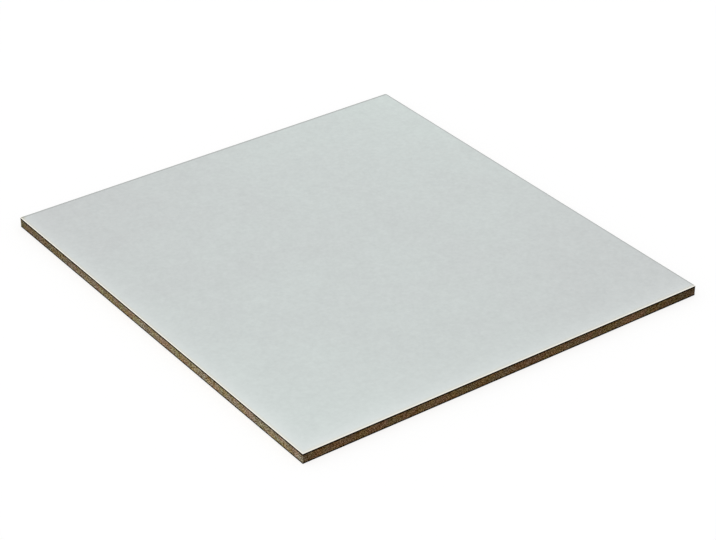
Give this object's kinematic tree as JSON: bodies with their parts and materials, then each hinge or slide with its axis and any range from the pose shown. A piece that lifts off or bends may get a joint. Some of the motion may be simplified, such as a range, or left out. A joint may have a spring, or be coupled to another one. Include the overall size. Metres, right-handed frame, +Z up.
{
  "type": "mdf board",
  "caption": "Flat rectangular fibreboard panel with a thin white facing bonded to its top, raw brown on its sawn edges and its back.",
  "frame": {"origin": "centre of the raw back face, which the board lies on", "axes": "+Z up through the thickness towards the white face, +Y along the board's longer side, +X across its width"},
  "size_m": [0.26, 0.28, 0.006],
  "materials": {
    "fibreboard": "matte",
    "facing": "satin"
  },
  "bodies": {
    "root": {"fibreboard_panel": "fibreboard", "white_facing": "facing"}
  },
  "joints": []
}
